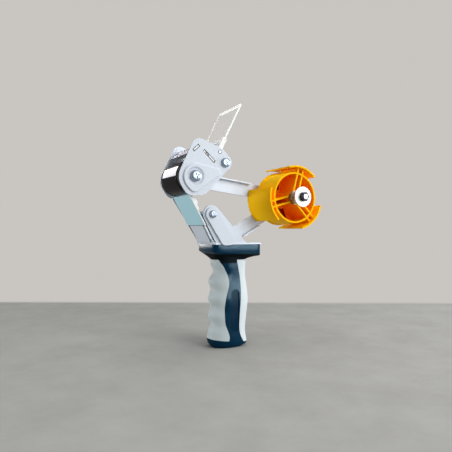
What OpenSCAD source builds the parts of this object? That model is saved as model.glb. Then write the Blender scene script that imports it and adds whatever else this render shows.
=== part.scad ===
// Hand-held packing tape dispenser: two-shell handle, pressed steel frame, roller, blade, wiper and braked hub.
// X points to the rear, Y to the far side and Z up. The origin is the middle of the handle's foot.
// Side-view points are [x, z] pairs; a rise is a height above the deck that the frame stands on.

/* [Tape] */
// Bore of the tape core that the hub fins hold
core_d = 76; // [70:0.5:80]
// Widest tape that the head takes
tape_w = 50; // [44:0.5:56]
// Room between the tape's edge and each head plate
tape_room = 1.5; // [1:0.1:3]

/* [Handle] */
// Height of the gripped part, foot included
grip_h = 98; // [90:1:110]
// Height of the flared neck under the deck
neck_h = 6; // [5:0.5:12]
// Thickness of the deck
deck_t = 11; // [8:0.5:14]
// Length of the deck, front to rear
deck_len = 60.6; // [58:0.2:66]
// Width of the deck
deck_w = 44.5; // [42:0.5:50]
// Front-to-rear depth that the handle's side-view curves are shares of
handle_depth = 50; // [47:0.5:53]
// Width of the handle at the palm swell
handle_w = 33; // [31:0.5:38]
// Thickness of the soft grips
grip_t = 3.5; // [2.5:0.1:4.5]
// Depth of the finger grooves, ridge to valley
groove_depth = 3.6; // [1:0.2:5]
// Distance from one finger groove to the next
groove_spacing = 20; // [18:0.5:22]
// Height of the lowest finger groove
groove_first = 23; // [20:0.5:28]
// Height of the foot at the handle's middle
foot_h = 6.8; // [6:0.2:8]
// Depth of the long recess in each side strip
recess_depth = 1.2; // [0.5:0.1:2]
// Wall of the handle shells
shell_wall = 2.4; // [2:0.1:3]
// Radius of the handle screws' shank
handle_screw_r = 1.75; // [1.5:0.05:2]

/* [Frame] */
// Thickness of the steel pressings
sheet = 1.5; // [1:0.1:2]
// Half width of the two frame arms
arm_r = 8.3; // [7:0.1:9.5]
// Half width of the front strut
strut_r = 9; // [8:0.25:10]
// Radius of the frame's seat for the hub axle
hub_seat_r = 18; // [15:0.5:22]
// Depth of the folded rims of the arms
rim_depth = 7; // [5:0.25:9]
// Height of the raised boss of the near head plate
boss_rise = 2; // [1:0.1:3]
// Height of the raised rib of the near ear
rib_rise = 2.5; // [1.8:0.1:3.5]
// Half width of the near ear's raised rib
rib_r = 7.5; // [6:0.25:8]
// Thickness of the front guard
guard_t = 1.2; // [0.8:0.1:1.6]
// Lean of the front guard from the vertical, in degrees
guard_lean = 30; // [27:0.5:33]
// Distance from the base of the web to the guard's lower edge
web_h = 22.5; // [18:0.5:26]

/* [Roller] */
// Distance of the roller axis from the foot's middle
roller_x = -52.5; // [-55:0.5:-50]
// Rise of the roller axis
roller_rise = 71.4; // [69:0.2:74]
// Radius of the roller
roller_r = 18; // [16.5:0.25:19]
// Wall of the roller tube
roller_wall = 1.6; // [1:0.1:3]
// Length of the black cap that shows at each end of the roller
cap_len = 6; // [1.5:0.1:8]
// Gap between the roller and the front guard, where the tape runs
tape_gap = 1.5; // [1:0.1:3]
// Radius of the roller screw's shank
roller_screw_r = 3; // [2.5:0.1:3.5]

/* [Cutter] */
// Distance of the blade bar's fold from the foot's middle
bar_x = -48; // [-50:0.5:-46]
// Rise of the blade bar's fold
bar_rise = 104.8; // [103:0.2:106]
// Slope of the bar's front leg, in degrees
bar_slope = 43; // [40:0.5:46]
// Slope of the bar's rear leg, in degrees
rear_slope = 42; // [40:0.5:45]
// Length of the bar's front leg
bar_front = 12; // [10:0.5:13]
// Length of the bar's rear leg
bar_rear = 24.2; // [21:0.2:25]
// Thickness of the blade
blade_t = 0.8; // [0.5:0.1:1]
// Reach of the blade past the bar's front leg
blade_reach = 4.5; // [3:0.25:5.5]
// Distance from tooth to tooth
tooth_spacing = 2; // [1.5:0.25:3]
// Depth of the teeth
tooth_depth = 1.6; // [1:0.1:2]

/* [Wiper] */
// Distance of the wiper pin from the foot's middle
wiper_x = -23.7; // [-25:0.25:-22]
// Rise of the wiper pin
wiper_rise = 98.8; // [97.5:0.25:100]
// Length of the wiper from its pin to its tip
wiper_len = 61.5; // [50:0.5:70]
// Thickness of the wiper
wiper_t = 2; // [1.5:0.1:3]
// Lean of the wiper from the vertical, in degrees
wiper_lean = 26.5; // [22:0.5:32]
// Radius of the wiper pin
wiper_pin_r = 1.5; // [1.25:0.05:1.75]
// Turns of the wiper spring
wiper_turns = 6; // [4:1:7]
// Wire of the wiper spring
wiper_wire = 0.9; // [0.7:0.1:1]

/* [Guide and tie] */
// Distance of the guide screw from the foot's middle
guide_x = -17.3; // [-19:0.25:-15]
// Rise of the guide screw
guide_rise = 87.6; // [86:0.25:89]
// Radius of the guide screw's shank
guide_screw_r = 2.5; // [2:0.1:3]
// Distance of the tie screw from the foot's middle
tie_x = -30; // [-32:0.25:-28]
// Rise of the tie screw
tie_rise = 32.5; // [31:0.25:34]
// Radius of the tie screw's shank
tie_screw_r = 2; // [1.5:0.1:2.5]
// Wall of the spacer sleeves
sleeve_wall = 1.9; // [1.5:0.1:2.2]

/* [Hub] */
// Distance of the hub axis from the foot's middle
hub_x = 81; // [79:0.5:86]
// Rise of the hub axis
hub_rise = 54.5; // [51:0.5:57]
// Outer radius of the hub's drum at its near rim
drum_r = 30.2; // [28:0.2:31.5]
// Outer radius of the hub's drum at its far end
drum_far_r = 32.5; // [31:0.25:33.5]
// Length of the drum
drum_len = 35; // [32:0.5:37]
// Wall of the drum, the ribs and the fins
hub_wall = 2; // [1.6:0.1:2.4]
// Width of each fin, in degrees
fin_span = 63; // [45:1:75]
// Distance by which the fins stand out past the near rim
fin_overhang = 3.6; // [2.4:0.2:6]
// Middle distance of the two ribs that carry a fin
rib_gap = 7; // [5:0.25:9]
// Radius of the hub axle
axle_r = 3; // [2.5:0.1:3.5]
// Radius of the tension washer
tension_washer_r = 11.7; // [10.5:0.25:13]
// Thickness of the tension washer
tension_washer_t = 1.5; // [1:0.1:2]
// Length of the tension spring at rest
spring_len = 14.1; // [13:0.1:16]
// Turns of the tension spring
spring_turns = 2.5; // [2:0.5:4]
// Wire of the tension spring
spring_wire = 1.3; // [1:0.1:1.4]
// Mean radius of the tension spring
spring_r = 7.4; // [6:0.1:8.5]

/* [Clearances] */
// Radial clearance of a piece that turns on a shaft
run_fit = 0.05; // [0.02:0.01:0.1]
// Radial clearance of a screw in its hole
hole_fit = 0.1; // [0.05:0.05:0.3]
// Clearance of a tab in its slot and of a rib in its notch
slot_fit = 0.45; // [0.15:0.05:0.5]
// Gap between a grip and the shell it is fitted on
seam = 0.1; // [0.05:0.05:0.2]

/* [Hidden] */
$fn = 48;

// Colours of the finishes
paint = [0.85, 0.88, 0.91];
guard_blue = [0.63, 0.73, 0.76];
teal = [0.16, 0.26, 0.32];
grip_grey = [0.70, 0.74, 0.73];
zinc = [0.74, 0.77, 0.80];
hub_yellow = [0.95, 0.68, 0.05];

// Heights and planes that several pieces share
deck_z = grip_h + neck_h + deck_t;
head_in = tape_w / 2 + tape_room;
head_out = head_in + sheet;
boss_face = head_out + boss_rise;
ear_out = deck_w / 2 - 0.75;
ear_in = ear_out - sheet;
rib_face = ear_out + rib_rise;
plate_1 = deck_z + sheet;
plate_2 = plate_1 + sheet;

// Side-view places
roller = [roller_x, deck_z + roller_rise];
hub_c = [hub_x, deck_z + hub_rise];
guide = [guide_x, deck_z + guide_rise];
tie = [tie_x, deck_z + tie_rise];
pivot = [wiper_x, deck_z + wiper_rise];
fold = [bar_x, deck_z + bar_rise];

// Smooth curves and outlines

function unit(v) = v / norm(v);
function mix(a, b, t) = a + (b - a) * t;
function ease(t) = let (c = min(max(t, 0), 1)) c * c * (3 - 2 * c);

// A curve through hand-set keys [station, value], level at both ends and smooth between
function key_slope(k, i) =
    i == 0 || i == len(k) - 1 ? 0 : (k[i + 1][1] - k[i - 1][1]) / (k[i + 1][0] - k[i - 1][0]);
function key_span(k, s, i = 0) = i >= len(k) - 2 || s <= k[i + 1][0] ? i : key_span(k, s, i + 1);
function curve(k, s) =
    let (i = key_span(k, s), h = k[i + 1][0] - k[i][0], t = min(max((s - k[i][0]) / h, 0), 1))
    (1 + 2 * t) * pow(1 - t, 2) * k[i][1] + t * pow(1 - t, 2) * h * key_slope(k, i)
    + t * t * (3 - 2 * t) * k[i + 1][1] + t * t * (t - 1) * h * key_slope(k, i + 1);

// The outline of a belt drawn anticlockwise round circles [x, z, r]; a circle with r below 0 bends it inwards
function belt_normal(a, b) =
    let (d = [b[0] - a[0], b[1] - a[1]], u = d / norm(d), s = (a[2] - b[2]) / norm(d), c = sqrt(1 - s * s))
    [s * u[0] + c * u[1], s * u[1] - c * u[0]];
function belt(circles) = [
    for (i = [0:len(circles) - 1])
    let (count = len(circles), here = circles[i],
        n_in = belt_normal(circles[(i + count - 1) % count], here),
        n_out = belt_normal(here, circles[(i + 1) % count]),
        from = atan2(n_in[1], n_in[0]), turn = atan2(n_out[1], n_out[0]) - from,
        sweep = here[2] >= 0 ? (turn < 0 ? turn + 360 : turn) : (turn > 0 ? turn - 360 : turn),
        steps = here[2] == 0 ? 0 : ceil(abs(sweep) / 10))
    for (k = [0:steps])
    let (a = from + sweep * k / max(steps, 1))
    [here[0], here[1]] + here[2] * [cos(a), sin(a)]
];

// A side-view shape between two Y planes
module slab(y_from, y_to) {
    translate([0, y_to, 0]) rotate([90, 0, 0]) linear_extrude(y_to - y_from) children();
}

// A round bar along Y at a side-view place
module rod(at, r, y_from, y_to) {
    translate([at[0], y_to, at[1]]) rotate([90, 0, 0]) cylinder(r = r, h = y_to - y_from);
}

// A spacer tube along Y
module sleeve(at, r, bore, y_from, y_to) {
    difference() {
        rod(at, r, y_from, y_to);
        rod(at, bore, y_from - 1, y_to + 1);
    }
}

// A pan screw along Y, its head outside y_face on the near side, with a cross recess
module pan_screw(at, r, y_face, y_end) {
    head_r = 2 * r;
    head_h = 1.25 * r;
    translate([at[0], y_face, at[1]]) rotate([90, 0, 0]) difference() {
        union() {
            rotate_extrude() polygon([[0, 0], [head_r, 0], [head_r, head_h * 0.45],
                [head_r * 0.92, head_h * 0.75], [head_r * 0.7, head_h * 0.95], [head_r * 0.45, head_h],
                [0, head_h]]);
            translate([0, 0, y_face - y_end]) cylinder(r = r, h = y_end - y_face + head_h / 2);
        }
        for (a = [0, 90]) rotate([0, 0, a + 20])
            translate([-head_r * 0.55, -head_r * 0.1, head_h * 0.4])
                cube([head_r * 1.1, head_r * 0.2, head_h]);
    }
}

// A hexagon nut along Y
module hex_nut(at, flats, bore, y_from, y_to) {
    difference() {
        translate([at[0], y_to, at[1]]) rotate([90, 0, 0])
            cylinder(r = flats / 2 / cos(30), h = y_to - y_from, $fn = 6);
        rod(at, bore, y_from - 1, y_to + 1);
    }
}

// A closed solid through rings of equal count, each anticlockwise seen from the end that they lead to. Its ends
// are fans of triangles, or bands where every ring runs along one side of the shape and back along the other; a
// flip splits each face along its other diagonal
module loft(rings, band = false, flip = false) {
    n = len(rings[0]);
    last = (len(rings) - 1) * n;
    sides = [
        for (i = [0:len(rings) - 2]) for (k = [0:n - 1])
        let (a = i * n + k, b = i * n + (k + 1) % n)
        for (f = flip ? [[a, a + n, b], [b, a + n, b + n]] : [[a, a + n, b + n], [a, b + n, b]]) f
    ];
    fan_end = [for (k = [1:n - 2]) [0, k, k + 1]];
    band_end = [
        for (k = [0:n / 2 - 2])
        for (f = [[k, k + 1, n - 2 - k], [k, n - 2 - k, n - 1 - k]]) f
    ];
    first_end = band ? band_end : fan_end;
    last_end = [for (f = first_end) [last + f[0], last + f[2], last + f[1]]];
    polyhedron([for (ring = rings) for (p = ring) p], concat(sides, first_end, last_end), 4);
}

// Rings of six points round a path, carried along it without twist
function path_dir(p, i) = unit(p[min(i + 1, len(p) - 1)] - p[max(i - 1, 0)]);
function square_to(d, n) = unit(n - (n * d) * d);
function tube_rings(p, r, n_first) =
    let (dirs = [for (i = [0:len(p) - 1]) path_dir(p, i)],
        norms = [for (i = 0, n = square_to(dirs[0], n_first); i < len(p);
            i = i + 1, n = i < len(p) ? square_to(dirs[i], n) : n) n])
    [for (i = [0:len(p) - 1]) [for (k = [0:5]) p[i] + r * (cos(60 * k) * norms[i]
        + sin(60 * k) * cross(dirs[i], norms[i]))]];

module wire_tube(p, r, n_first) {
    loft(tube_rings(p, r, n_first));
}

// Least gap of a wire to itself, between path points more than half a turn apart
function least_gap(p, r, apart) =
    min([for (i = [0:len(p) - 1 - apart]) for (j = [i + apart:len(p) - 1]) norm(p[i] - p[j])]) - 2 * r;

// Handle

// The handle's middle, where its front and rear halves meet
handle_mid = 2;
deck_mid = 3.3;
section_power = 2.4;
deck_power = 9;
foot_rake = 0.12;
deck_edge = 1.2;
flare_share = 0.87;
deck_rake = 0.075;

// Powers by which the neck widens to the deck: to the front and rear, and to the sides
flare_power = 1.3;
overhang_power = 3;

// Keys are [share of the grip height, share of the handle's depth], places in the side view
front_keys = [[0, -0.37], [0.03, -0.444], [0.07, -0.464], [0.12, -0.446], [0.25, -0.4], [0.55, -0.4],
    [0.76, -0.39], [0.87, -0.328], [1, -0.37]];
rear_keys = [[0, 0.39], [0.03, 0.452], [0.06, 0.472], [0.1, 0.458], [0.17, 0.426], [0.26, 0.432],
    [0.45, 0.48], [0.54, 0.496], [0.63, 0.484], [0.74, 0.448], [0.86, 0.42], [1, 0.432]];
width_keys = [[0, 0.76], [0.03, 0.9], [0.07, 0.96], [0.3, 0.95], [0.53, 1], [0.77, 0.95], [1, 1]];
strip_front_keys = [[0, -0.1], [0.07, -0.1], [0.12, -0.086], [0.18, -0.12], [0.27, -0.18], [0.42, -0.2],
    [0.55, -0.18], [0.72, -0.1], [0.82, -0.13], [0.92, -0.22], [1, -0.31]];
strip_rear_keys = [[0, 0.38], [0.06, 0.31], [0.13, 0.206], [0.21, 0.16], [0.36, 0.166], [0.64, 0.192],
    [0.76, 0.18], [0.9, 0.124], [1, 0.08]];

groove_fade = 10;
function groove(z) =
    groove_depth / 2 * cos(360 * (z - groove_first) / groove_spacing)
    * ease((z - foot_h) / groove_fade - 0.5) * ease((grip_h - z) / groove_fade);
function neck_share(z) = min(max((z - grip_h) / neck_h, 0), 1);
function edge_share(z) = min(max((z - grip_h - neck_h) / deck_edge, 0), 1);
function flare(z, p = flare_power) = mix(flare_share * pow(neck_share(z), p), 1, sin(90 * edge_share(z)));
function front_x(z) =
    mix(handle_depth * curve(front_keys, z / grip_h) + groove(min(z, grip_h)), deck_mid - deck_len / 2,
        flare(z));
function rear_x(z) = mix(handle_depth * curve(rear_keys, z / grip_h), deck_mid + deck_len / 2, flare(z));
function half_w(z) =
    mix(handle_w / 2 * curve(width_keys, z / grip_h), deck_w / 2, flare(z, overhang_power));
function power(z) = mix(section_power, deck_power, flare(z));
function strip_front(z) = handle_depth * curve(strip_front_keys, z / grip_h);
function strip_rear(z) = handle_depth * curve(strip_rear_keys, z / grip_h);

// The foot's top leans, and the levels above it straighten up to the neck; the deck's lower edge drops to its
// rear
function foot_top(x) = foot_h - foot_rake * (x - handle_mid);
function level(z, x) =
    z <= foot_h ? z / foot_h * foot_top(x)
    : z <= grip_h ? mix(foot_top(x), grip_h, (z - foot_h) / (grip_h - foot_h))
    : z < deck_z ? z - deck_rake * neck_share(z) * (x - deck_mid)
    : z;

// A point of the section's front or rear half, inset from the surface, by the angle t from its middle plane
function section_x(z, inset, t, front) =
    handle_mid + (front ? -1 : 1) * section_len(z, inset, front) * pow(cos(t), 2 / power(z));
function section_len(z, inset, front) = (front ? handle_mid - front_x(z) : rear_x(z) - handle_mid) - inset;
function section_y(z, inset, t) = (half_w(z) - inset) * pow(sin(t), 2 / power(z));
function section_t(z, inset, x, front) =
    let (share = abs(x - handle_mid) / section_len(z, inset, front))
    acos(pow(min(share, 0.97), power(z) / 2));
function surface_y(z, x) =
    let (share = abs(x - handle_mid) / section_len(z, 0, x < handle_mid))
    half_w(z) * pow(1 - pow(min(share, 0.97), power(z)), 1 / power(z));
function placed(z, x, y) = [x, y, level(z, x)];
function section_point(z, inset, t, front, side) =
    let (x = section_x(z, inset, t, front)) placed(z, x, side * section_y(z, inset, t));

// One ring of the near shell: under the front grip, over the strip, under the rear grip, and along the seam
arc_steps = 8;
strip_steps = 6;
function shell_ring(z, inset) =
    let (from = strip_front(z) + seam, to = strip_rear(z) - seam, share = inset > 0 ? 1 : 0.93,
        t_front = section_t(z, inset, from, true) * share, t_rear = section_t(z, inset, to, false) * share)
    concat(
        [for (i = [0:arc_steps]) section_point(z, inset, t_front * i / arc_steps, true, -1)],
        [for (i = [0:strip_steps]) let (x = mix(from, to, i / strip_steps)) placed(z, x, -surface_y(z, x))],
        [for (i = [arc_steps:-1:0]) section_point(z, inset, t_rear * i / arc_steps, false, -1)]
    );

ledge = 0.3;
grip_levels = 26;
grip_bottom = foot_h + ledge;
grip_top = grip_h - ledge;
core_inset = grip_t + 2 * seam;
function grip_level(i) = mix(grip_bottom, grip_top, i / grip_levels);

module shell_body(flip) {
    loft(concat(
        [for (z = [0, 0.2, 0.5, 0.75, 1] * foot_h) shell_ring(z, 0)],
        [for (i = [0:grip_levels]) shell_ring(grip_level(i), core_inset)],
        [for (s = [0, 0.2, 0.4, 0.6, 0.8, 1]) shell_ring(grip_h + s * neck_h, 0)],
        [for (s = [0.2, 0.5, 1, 1.4]) shell_ring(grip_h + neck_h + s * deck_edge, 0)],
        [shell_ring(deck_z, 0)]
    ), false, flip);
}

// Handle screws run along Y at these side-view places, and their bosses stand in the hollow of the shells
handle_screw_at = [[1, grip_h * 0.24], [1, grip_h * 0.76],
    [deck_mid + deck_len * 0.36, deck_z - deck_t * 0.55]];
hollow_y = handle_w / 2 - grip_t - shell_wall - 1.4;
hollow_share = 0.52;
front_least = min([for (i = [0:grip_levels]) section_len(grip_level(i), core_inset, true)]);
rear_least = min([for (i = [0:grip_levels]) section_len(grip_level(i), core_inset, false)]);
hollow_front = handle_mid - hollow_share * front_least;
hollow_rear = handle_mid + hollow_share * rear_least;
hollow_bottom = foot_h + 7;
screw_boss_r = handle_screw_r + 2.2;
screw_head_r = handle_screw_r * 2;
screw_seat_y = 6.5;
pilot_depth = hollow_y - 0.5;

module hollow() {
    translate([hollow_front, -hollow_y, hollow_bottom])
        cube([hollow_rear - hollow_front, hollow_y + 1, grip_h - hollow_bottom]);
}

// The long recess of the side strip, an obround cut in from the side
recess_r = 5.2;
recess_mid = 2.2;
recess_low = grip_h * 0.24;
recess_high = grip_h * 0.61;
module strip_recess() {
    slab(-handle_w, -(handle_w / 2 * 0.97 - recess_depth)) {
        for (z = [recess_low, recess_high]) translate([recess_mid, z]) circle(recess_r);
        translate([recess_mid - recess_r, recess_low]) square([2 * recess_r, recess_high - recess_low]);
    }
}

// Deck screws at these places from the handle's middle plane, through both plates into the deck
deck_screw_x = [-15, 6];
deck_screw_y = 12;
deck_screw_r = 2;
deck_screw_len = 8;
module deck_pilots() {
    for (x = deck_screw_x) for (y = [-deck_screw_y, deck_screw_y])
        translate([x, y, deck_z - deck_screw_len])
            cylinder(r = deck_screw_r + hole_fit, h = deck_screw_len + 1);
}

module half_shell(flip) {
    difference() {
        union() {
            difference() {
                shell_body(flip);
                hollow();
            }
            for (at = handle_screw_at) if (at[1] < grip_h) rod(at, screw_boss_r, -hollow_y - 1, 0);
        }
        strip_recess();
        deck_pilots();
    }
}

module handle_shell_near() {
    color(teal) difference() {
        half_shell(true);
        for (at = handle_screw_at) rod(at, handle_screw_r + hole_fit, -pilot_depth, 1);
        slab(-deck_w, -ear_in + 0.5) polygon(belt([for (c = ear_rib) [c[0], c[1], c[2] + slot_fit]]));
    }
}

module handle_shell_far() {
    color(teal) difference() {
        mirror([0, 1, 0]) half_shell(false);
        for (at = handle_screw_at) {
            rod(at, handle_screw_r + hole_fit, -1, screw_seat_y + 1);
            rod(at, screw_head_r + 0.3, screw_seat_y, deck_w);
        }
    }
}

module handle_screws() {
    color(zinc) for (at = handle_screw_at)
        mirror([0, 1, 0]) pan_screw(at, handle_screw_r, -screw_seat_y, pilot_depth - 0.5);
}

// A grip's ring: its surface from one strip to the other, and back along the shell
grip_steps = 9;
function grip_side(z, inset, edge, front, step_list) =
    let (t = section_t(z, inset, edge, front))
    [for (i = step_list) section_point(z, inset, t * abs(i) / grip_steps, front, i < 0 ? -1 : 1)];
function grip_ring(z, front) =
    let (edge = front ? strip_front(z) - seam : strip_rear(z) + seam,
        there = [for (i = [-grip_steps:grip_steps]) front ? -i : i],
        back = [for (i = [grip_steps:-1:-grip_steps]) front ? -i : i])
    concat(grip_side(z, 0, edge, front, there), grip_side(z, grip_t, edge, front, back));

module grip_front() {
    color(grip_grey) loft([for (i = [0:grip_levels]) grip_ring(grip_level(i), true)], true);
}

module grip_back() {
    color(grip_grey) loft([for (i = [0:grip_levels]) grip_ring(grip_level(i), false)], true);
}

// Frame

// The head's outline: nose round the roller, its full chin, guide screw, wiper pin and top of the blade bar
nose_r = roller_r - 0.5;
chin_front_r = 10.8;
chin_rear_r = 12;
head_top_r = 9;
pin_edge_r = 5;
guide_edge_r = 8;
head_outline = [
    [roller[0], roller[1] - 1, nose_r],
    [roller[0] - 2.5, roller[1] - 9.3, chin_front_r],
    [roller[0] + 6, roller[1] - 7.6, chin_rear_r],
    [guide[0], guide[1] + 0.5, guide_edge_r],
    [pivot[0] + 1.2, pivot[1] - 1.3, pin_edge_r],
    [fold[0] + 1, fold[1] - 2.8, head_top_r]
];

// The arms' middle lines pass above and below the hub axis, so that the arms run into the hub seat
upper_from = [guide[0] - 5, guide[1] - 14.5];
lower_from = [12, deck_z + 3.7];
upper_shift = 6.2;
lower_shift = -(hub_seat_r - arm_r);
function seat_end(from, shift) = let (d = unit(hub_c - from)) hub_c + shift * [-d[1], d[0]];
function arm(from, shift) =
    let (end = seat_end(from, shift)) belt([[from[0], from[1], arm_r], [end[0], end[1], arm_r]]);

// A straight strip of an arm, between two distances from its middle line
function arm_strip(from, shift, side_from, side_to) =
    let (end = seat_end(from, shift), d = unit(end - from), n = [-d[1], d[0]])
    [from + side_from * n, end + side_from * n, end + side_to * n, from + side_to * n];
strut_from = [roller[0] + 3.3, roller[1] - 13.4];
strut_to = [-14.2, deck_z + 4.5];
function strut(r) = belt([[strut_from[0], strut_from[1], r], [strut_to[0], strut_to[1], r]]);

foot_front = deck_mid - deck_len / 2 + 2;
foot_rear = deck_mid + deck_len / 2 - 1;
toe_h = 9;
arm_foot_rear = 30;
fin_clear = 2;
border_w = 3.8;
border_rise = 1.6;
edge_from = guide[0] + 4;
edge_above = 6;

// The folded outer rim and the raised inner border of an arm, clear of the head, the fins and the deck plates
module arm_edges(from, shift, outer) {
    difference() {
        union() {
            slab(head_in - rim_depth, head_in)
                polygon(arm_strip(from, shift, outer * (arm_r - sheet), outer * arm_r));
            slab(head_in - border_rise, head_in)
                polygon(arm_strip(from, shift, -outer * arm_r, -outer * (arm_r - border_w)));
        }
        rod(hub_c, core_d / 2 + fin_clear, -head_in, head_in);
        translate([roller[0], 0, 0]) cube([edge_from - roller[0], head_in, 2 * deck_z]);
        translate([-deck_len, 0, 0]) cube([2 * deck_len, head_in, plate_2 + edge_above]);
    }
}

module side_frame() {
    color(paint) difference() {
        union() {
            slab(head_in, head_out) {
                polygon(belt(head_outline));
                polygon(arm(upper_from, upper_shift));
                polygon(arm(lower_from, lower_shift));
                polygon(strut(strut_r));
                translate([foot_front, deck_z]) square([arm_foot_rear - foot_front, toe_h]);
                translate(hub_c) circle(hub_seat_r);
            }
            arm_edges(upper_from, upper_shift, 1);
            arm_edges(lower_from, lower_shift, -1);
            translate([foot_front, -ear_out, deck_z])
                cube([foot_rear - foot_front, ear_out + head_out, sheet]);
        }
        translate([-deck_len, 0, deck_z - 2 * arm_r]) cube([2 * deck_len, head_out + 1, 2 * arm_r]);
        rod(roller, roller_screw_r + hole_fit, head_in - 1, head_out + 1);
        rod(guide, guide_screw_r + hole_fit, head_in - 1, head_out + 1);
        rod(tie, tie_screw_r + hole_fit, head_in - 1, head_out + 1);
        rod(pivot, wiper_pin_r + run_fit, head_in - 1, head_out + 1);
        rod(hub_c, axle_r + hole_fit, head_in - 1, head_out + 1);
        head_slots();
        deck_screw_holes(deck_z, plate_1);
    }
}

module deck_screw_holes(z_from, z_to) {
    for (x = deck_screw_x) for (y = [-deck_screw_y, deck_screw_y])
        translate([x, y, z_from - 1]) cylinder(r = deck_screw_r + hole_fit, h = z_to - z_from + 2);
}

// The saddle: base on the frame's foot, near ear with its raised rib, and the web that leans forward
ear_top_r = 9.9;
ear_front = -24.2;
ear_rear = 13.3;
rib_end_r = 5.2;
ear_rib = [[tie[0], tie[1], rib_r], [-14.2, deck_z + 4.3, rib_end_r], [-8.2, deck_z + 4.6, rib_end_r]];

// A flange stands inside the ear, set back from its front edge and down to the base
ear_flange = 11;
flange_set = 3.4;
flange_out = belt_normal([tie[0], tie[1], ear_top_r], [ear_front, plate_1, 0]);
flange_top = tie + (ear_top_r - flange_set) * flange_out;
flange_foot = [ear_front, plate_1] - flange_set * flange_out + sheet * [-flange_out[1], flange_out[0]];

web_foot = deck_mid - deck_len / 2 + sheet;
web_near = 14;
web_foot_near = 10;
web_far = 21.5;
web_lap = 12;

// Side-view place on the web's front face, by the distance from its foot and the depth behind the face
web_up = [-sin(guard_lean), cos(guard_lean)];
web_back = [cos(guard_lean), sin(guard_lean)];
function on_web(s, back) = [web_foot, plate_1] + s * web_up + back * web_back;
function web_strip(s_from, s_to, front, back) =
    [on_web(s_from, front), on_web(s_to, front), on_web(s_to, back), on_web(s_from, back)];

module saddle() {
    color(paint) difference() {
        union() {
            difference() {
                union() {
                    slab(-ear_out, -ear_in) polygon(belt([[tie[0], tie[1], ear_top_r], [ear_front, plate_1, 0],
                        [ear_rear, plate_1, 0]]));
                    slab(-rib_face, -ear_out) polygon(belt(ear_rib));
                }
                slab(-rib_face + sheet, -ear_in + 1)
                    polygon(belt([for (c = ear_rib) [c[0], c[1], c[2] - sheet]]));
            }
            slab(-ear_in - sheet / 2, -ear_in + ear_flange)
                polygon([flange_top, flange_foot, flange_foot - sheet * flange_out,
                    flange_top - sheet * flange_out]);
            translate([web_foot, -ear_in, plate_1])
                cube([ear_rear - web_foot, ear_in + web_far, sheet]);
            translate([web_foot, 0, plate_1]) rotate([0, -guard_lean, 0]) rotate([90, 0, 90])
                linear_extrude(sheet) polygon([[-web_foot_near, 0], [web_far, 0],
                    [web_far, web_h + web_lap], [-web_near, web_h + web_lap]]);
        }
        rod(tie, tie_screw_r + hole_fit, -rib_face - 1, 0);
        deck_screw_holes(plate_1, plate_2);
    }
}

module deck_screws() {
    color(zinc) for (x = deck_screw_x) for (y = [-deck_screw_y, deck_screw_y])
        translate([x, y, plate_2]) rotate([-90, 0, 0])
            pan_screw([0, 0], deck_screw_r, 0, deck_screw_len + 2 * sheet - 0.5);
}

// The guard stands on the web's face and ends where the tape runs in under the roller
guard_near = 22;
guard_far = 24;
guard_fold = 1.8;
guard_tab = 3.6;
guard_seam = 0.02;

// Distance up the web at which a point so far behind its face is the tape's gap away from the roller
function under_roller(back) =
    let (v = on_web(0, back) - roller)
    -(web_up * v) - sqrt(pow(web_up * v, 2) - v * v + pow(roller_r + tape_gap, 2));
guard_s = under_roller(-guard_t);

module front_guard() {
    color(guard_blue) {
        slab(-guard_near, guard_far) polygon(web_strip(web_h, guard_s, -guard_t, -guard_seam));
        slab(-guard_near, -guard_near + guard_t) {
            polygon(web_strip(guard_s - 18, under_roller(guard_fold), -guard_t, guard_fold));
            polygon(web_strip(guard_s - 12, guard_s - 5.5, -guard_t, guard_tab));
        }
    }
}

// Tie screw between the ear and the side frame
m4_flats = 7;
nut_share = 1.6;
tie_nut_t = nut_share * tie_screw_r;
module tie_screw() {
    color(zinc) pan_screw(tie, tie_screw_r, -rib_face, head_out + tie_nut_t + 1);
}
module tie_sleeve() {
    color(zinc) sleeve(tie, tie_screw_r + hole_fit + sleeve_wall, tie_screw_r + hole_fit, -rib_face + sheet,
        head_in);
}
module tie_nut() {
    color(zinc)
        hex_nut(tie, m4_flats / 2 * tie_screw_r, tie_screw_r + run_fit, head_out, head_out + tie_nut_t);
}

// Head

head_boss = [
    [roller[0] + 1, roller[1] - 1.2, 14.3],
    [roller[0] - 0.8, roller[1] - 9.6, 7],
    [roller[0] + 25.5, roller[1] + 5.1, 4]
];

// The boss is pressed back in a dish round the roller screw
dish_r = 9.4;
dish_depth = 1.2;
dish_slope = 1.2;
dish_face = boss_face - dish_depth;
module head_plate_near() {
    color(paint) difference() {
        union() {
            slab(-head_out, -head_in) polygon(belt(head_outline));
            slab(-boss_face, -head_out) polygon(belt(head_boss));
        }
        difference() {
            slab(-boss_face + sheet, -head_in + 1)
                polygon(belt([for (c = head_boss) [c[0], c[1], c[2] - sheet]]));
            rod(roller, dish_r + sheet / 2, -boss_face, -dish_face + sheet);
        }
        translate([roller[0], -boss_face - 1, roller[1]]) rotate([-90, 0, 0])
            cylinder(r1 = dish_r + dish_slope, r2 = dish_r - dish_slope * dish_depth, h = 1 + dish_depth);
        rod(roller, roller_screw_r + hole_fit, -boss_face - 1, 0);
        rod(guide, guide_screw_r + hole_fit, -head_out - 1, 0);
        rod(pivot, wiper_pin_r + run_fit, -head_out - 1, 0);
        head_slots();
    }
}

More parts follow.
